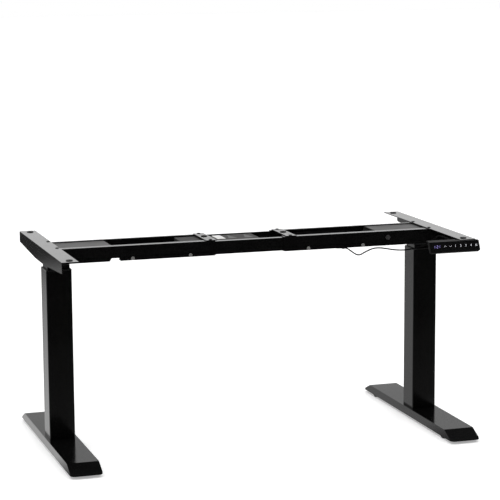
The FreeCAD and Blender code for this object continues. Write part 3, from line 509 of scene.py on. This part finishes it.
# Seven segments of a digit: each from one corner to another, in half widths and half heights.
SEGMENTS = {
    "top": ((-1, 1), (1, 1)), "middle": ((-1, 0), (1, 0)), "bottom": ((-1, -1), (1, -1)),
    "upper_left": ((-1, 0), (-1, 1)), "upper_right": ((1, 0), (1, 1)),
    "lower_left": ((-1, -1), (-1, 0)), "lower_right": ((1, -1), (1, 0)),
    "upper_centre": ((0, 0), (0, 1)), "lower_centre": ((0, -1), (0, 0)),
}
LIT_SEGMENTS = {
    "1": ("upper_centre", "lower_centre"),
    "2": ("top", "upper_right", "middle", "lower_left", "bottom"),
}
DISPLAY_TEXT = "121"
SEGMENT_HALF_WIDE = 0.0021
SEGMENT_HALF_TALL = 0.0038
SEGMENT_SLANT = 0.12
SEGMENT_TRIM = 0.0006
SEGMENT_LINE = 0.0008
DISPLAY_PITCH = 0.0078
DISPLAY_LEFT_OF_KEYS = 0.0245


def trimmed(at, other, half):
    """One coordinate of a segment's end, moved a little towards the segment's other end."""
    towards = (other > at) - (other < at)
    return at * half + towards * SEGMENT_TRIM


def make_display():
    """The height display to the left of the keys."""
    first = face_spot("up")
    lines = []
    for index, character in enumerate(DISPLAY_TEXT):
        middle = (index - (len(DISPLAY_TEXT) - 1) / 2) * DISPLAY_PITCH
        for segment in LIT_SEGMENTS[character]:
            ends = []
            one, two = SEGMENTS[segment]
            for (x, y), (other_x, other_y) in ((one, two), (two, one)):
                across = trimmed(x, other_x, SEGMENT_HALF_WIDE)
                up = trimmed(y, other_y, SEGMENT_HALF_TALL)
                ends.append((middle + across + up * SEGMENT_SLANT, up))
            lines.append(tuple(ends))
    display = strokes("height_display", lines, SEGMENT_LINE, DISPLAY_BLUE)
    display.data.transform(face_matrix(first - Vector((DISPLAY_LEFT_OF_KEYS, 0, 0))))
    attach(display, "right_head")


# ---- small finishing pieces -----------------------------------------------------------------------

LABEL_GAP = 0.00005
LABEL_THICK = 0.0001
LABEL_NOTCH = 0.002
LABEL_X = (0.115, 0.141)        # from the lid's left end
LABEL_Y = (-0.015, 0.051)
PATCH_STARTS = (0.150, 0.200)   # from the lid's left end
PATCH_WIDE = 0.028
PATCH_Y = (-0.012, 0.048)


def notched(corners):
    """An outline with a small notch at each corner, cut parallel to the two edges that meet there."""
    outline = []
    for index, corner in enumerate(corners):
        back = (corners[index - 1] - corner).normalized() * LABEL_NOTCH
        ahead = (corners[(index + 1) % len(corners)] - corner).normalized() * LABEL_NOTCH
        outline += [corner + back, corner + back + ahead, corner + ahead]
    return outline


def flat_label(name, corners, z, material):
    """A thin sticker with notched corners on the lid's level top. Its corners run anticlockwise."""
    outline = notched([Vector(corner) for corner in corners])
    shape = bmesh.new()
    low = [shape.verts.new((*spot, z)) for spot in outline]
    high = [shape.verts.new((*spot, z + LABEL_THICK)) for spot in outline]
    shape.faces.new(low[::-1])
    shape.faces.new(high)
    for index in range(len(outline)):
        shape.faces.new((low[index - 1], low[index], high[index], high[index - 1]))
    piece = from_bmesh(name, shape, material)
    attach(piece, "beam_centre")


def make_labels():
    """A blank label and two grey three-cornered patches on the control box's lid."""
    lid_low, lid_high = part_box("control_box_lid")
    left = lid_low.x
    top = lid_high.z + LABEL_GAP
    start, end = left + LABEL_X[0], left + LABEL_X[1]
    front, back = LABEL_Y
    flat_label("lid_label", [(start, front), (end, front), (end, back), (start, back)], top, LABEL_WHITE)
    front, back = PATCH_Y
    for index, start in enumerate(PATCH_STARTS):
        start = left + start
        corners = [(start, front), (start + PATCH_WIDE, front), (start + PATCH_WIDE / 2, back)]
        flat_label(f"lid_patch_{index + 1}", corners, top, LABEL_GREY)


# ---- floor, light and camera ----------------------------------------------------------------------

def level_square(reach, z):
    """Corners of a level square around the frame."""
    return [(-reach, -reach, z), (reach, -reach, z), (reach, reach, z), (-reach, reach, z)]


def four_cornered(name, corners, material):
    """A flat sheet with four corners, in order."""
    mesh = bpy.data.meshes.new(name)
    mesh.from_pydata(corners, [], [(0, 1, 2, 3)])
    return new_piece(name, mesh, material)


FLOOR_REACH = 30
FLOOR_GLOW = 0.35               # the paper floor's own light, which lifts it to white
WHITE = (1, 1, 1, 1)


def make_floor():
    """A plain pale floor, wide enough to run out of every view."""
    surface = Surface("pale_floor", Roughness=0.9)
    cloud = surface.noise(3, detail=3)
    stops = [(0.3, grey(0.90)), (0.7, grey(0.93))]
    surface.link(surface.ramp(cloud, stops), surface.shader.inputs["Base Color"])
    surface.shader.inputs["Emission Color"].default_value = WHITE
    surface.shader.inputs["Emission Strength"].default_value = FLOOR_GLOW
    floor = four_cornered("floor", level_square(FLOOR_REACH, 0), surface.material)
    floor.visible_glossy = False


# Each fade of the surround: a direction, where the fade starts and ends (the cosine of the angle to
# it), and the light away from that direction and in it.
FRONT_FADE = ((0.30, -0.94, -0.10), -0.25, 0.5, 1.1, 0.01)
ABOVE_FADE = ((0, 0, 1), 0.3, 0.65, 1.0, 0.07)


def make_world():
    """A white surround that is dark towards the front and above, as black flags in a studio make it.
    The camera itself sees it white."""
    world = bpy.data.worlds.new("studio")
    scene.world = world
    world.use_nodes = True
    tree = world.node_tree
    tree.nodes.clear()
    place = tree.nodes.new("ShaderNodeTexCoord")

    def fading(direction, near, far, away, towards):
        """Grey that goes from one level to another as a ray turns towards the direction."""
        dot = tree.nodes.new("ShaderNodeVectorMath")
        dot.operation = "DOT_PRODUCT"
        dot.inputs[1].default_value = Vector(direction).normalized()
        tree.links.new(place.outputs["Generated"], dot.inputs[0])
        fade = tree.nodes.new("ShaderNodeMapRange")
        fade.interpolation_type = "SMOOTHSTEP"
        for socket, value in (("From Min", near), ("From Max", far), ("To Min", away), ("To Max", towards)):
            fade.inputs[socket].default_value = value
        tree.links.new(dot.outputs["Value"], fade.inputs["Value"])
        return fade.outputs["Result"]

    front = fading(*FRONT_FADE)
    above = fading(*ABOVE_FADE)
    both = tree.nodes.new("ShaderNodeMath")
    both.operation = "MULTIPLY"
    tree.links.new(front, both.inputs[0])
    tree.links.new(above, both.inputs[1])
    path = tree.nodes.new("ShaderNodeLightPath")
    seen = tree.nodes.new("ShaderNodeMix")
    seen.inputs["B"].default_value = 1.0
    tree.links.new(path.outputs["Is Camera Ray"], seen.inputs["Factor"])
    tree.links.new(both.outputs["Value"], seen.inputs["A"])
    sky = tree.nodes.new("ShaderNodeBackground")
    sky.inputs["Color"].default_value = WHITE
    tree.links.new(seen.outputs["Result"], sky.inputs["Strength"])
    out = tree.nodes.new("ShaderNodeOutputWorld")
    tree.links.new(sky.outputs["Background"], out.inputs["Surface"])


OVERHEAD_SPREAD = math.radians(100)
OVERHEAD_STRENGTH = 2.6


def make_overhead_light():
    """One very soft light from above, which lights the floor and leaves no mirror image in the coats."""
    light = bpy.data.lights.new("overhead", "SUN")
    light.angle = OVERHEAD_SPREAD
    light.energy = OVERHEAD_STRENGTH
    lamp = bpy.data.objects.new("overhead", light)
    lamp.visible_glossy = False
    scene.collection.objects.link(lamp)


def glow_card(name, corners, brightness):
    """A card that only shows in reflections. The function brightness makes its socket of light."""
    surface = Surface(name, Roughness=1.0)
    emitter = surface.add("ShaderNodeEmission")
    surface.link(brightness(surface), emitter.inputs["Strength"])
    surface.link(emitter.outputs["Emission"], surface.tree.nodes["Material Output"].inputs["Surface"])
    card = four_cornered(name, corners, surface.material)
    card.visible_camera = False
    card.visible_diffuse = False
    card.visible_shadow = False


# Light of the sweep card from front to back: (y, level) at the left of the frame, and under and
# right of it. The two mix between two places along x.
SWEEP_FRONT, SWEEP_BACK = -2.0, 4.0
LEFT_LEVELS = ((-1.6, 0.02), (-0.3, 0.15), (-0.1, 0.95), (0.5, 0.93), (1.6, 0.7), (2.5, 0.5),
               (2.9, 0.36), (3.3, 0.05))
MIDDLE_LEVELS = ((-1.6, 0.02), (-0.3, 0.15), (-0.1, 0.55), (3.1, 0.55))
MIX_FROM, MIX_TO = -0.62, -0.45
CARD_REACH = 6
SWEEP_UNDER = -0.0005           # just below the floor
STRIP_LEFT, STRIP_BACK = -0.62, 1.5
STRIP_LOW, STRIP_HIGH = 0.24, 0.70
STRIP_DIM, STRIP_BRIGHT = 0.48, 0.58


def sweep_brightness(surface):
    """The floor's mirror image: bright beside the frame, fading far behind it, dark in front of it."""
    split = surface.add("ShaderNodeSeparateXYZ")
    surface.link(surface.place, split.inputs["Vector"])
    depth = surface.add("ShaderNodeMapRange")
    depth.inputs["From Min"].default_value = SWEEP_FRONT
    depth.inputs["From Max"].default_value = SWEEP_BACK
    surface.link(split.outputs["Y"], depth.inputs["Value"])

    def along_depth(levels):
        stops = [((y - SWEEP_FRONT) / (SWEEP_BACK - SWEEP_FRONT), grey(level)) for y, level in levels]
        return surface.ramp(depth.outputs["Result"], stops)

    across = surface.add("ShaderNodeMapRange", interpolation_type="SMOOTHSTEP")
    across.inputs["From Min"].default_value = MIX_FROM
    across.inputs["From Max"].default_value = MIX_TO
    surface.link(split.outputs["X"], across.inputs["Value"])
    both = surface.add("ShaderNodeMix", data_type="RGBA")
    surface.link(across.outputs["Result"], both.inputs["Factor"])
    surface.link(along_depth(LEFT_LEVELS), both.inputs["A"])
    surface.link(along_depth(MIDDLE_LEVELS), both.inputs["B"])
    return both.outputs["Result"]


def strip_brightness(surface):
    """A grey strip, slightly uneven."""
    return surface.range(surface.noise(0.5, detail=2), STRIP_DIM, STRIP_BRIGHT)


def make_cards():
    """Reflections of the paper sweep under the frame and of a grey strip behind it."""
    glow_card("sweep_card", level_square(CARD_REACH, SWEEP_UNDER), sweep_brightness)
    strip = [(STRIP_LEFT, STRIP_BACK, STRIP_LOW), (CARD_REACH, STRIP_BACK, STRIP_LOW),
             (CARD_REACH, STRIP_BACK, STRIP_HIGH), (STRIP_LEFT, STRIP_BACK, STRIP_HIGH)]
    glow_card("strip_card", strip, strip_brightness)


CAMERA_PLACE = Vector((-1.6744, -5.3064, 1.4671))
CAMERA_YAW = 0.309              # radians, and so are the two below
CAMERA_PITCH = -0.163
CAMERA_ROLL = -0.006
CAMERA_LENS = 136.6             # millimetres, and so is the sensor
CAMERA_SENSOR = 36
CAMERA_CLIP = (0.1, 100)


def make_camera():
    """A long lens from the front left, a little above the frame."""
    forward = Vector((math.sin(CAMERA_YAW) * math.cos(CAMERA_PITCH),
                      math.cos(CAMERA_YAW) * math.cos(CAMERA_PITCH), math.sin(CAMERA_PITCH)))
    level = Vector((math.cos(CAMERA_YAW), -math.sin(CAMERA_YAW), 0))
    up = level.cross(forward)
    right = level * math.cos(CAMERA_ROLL) + up * math.sin(CAMERA_ROLL)
    up = right.cross(forward)
    data = bpy.data.cameras.new("camera")
    data.sensor_width = CAMERA_SENSOR
    data.lens = CAMERA_LENS
    data.clip_start, data.clip_end = CAMERA_CLIP
    camera = bpy.data.objects.new("camera", data)
    turn = Matrix((right, up, -forward)).transposed().to_4x4()
    camera.matrix_world = Matrix.Translation(CAMERA_PLACE) @ turn
    scene.collection.objects.link(camera)
    scene.camera = camera


finish_cad_nodes()
lay_cables()
make_signs()
make_display()
make_labels()
make_floor()
make_world()
make_overhead_light()
make_cards()
make_camera()
scene.view_settings.view_transform = "Standard"

bpy.context.view_layer.update()
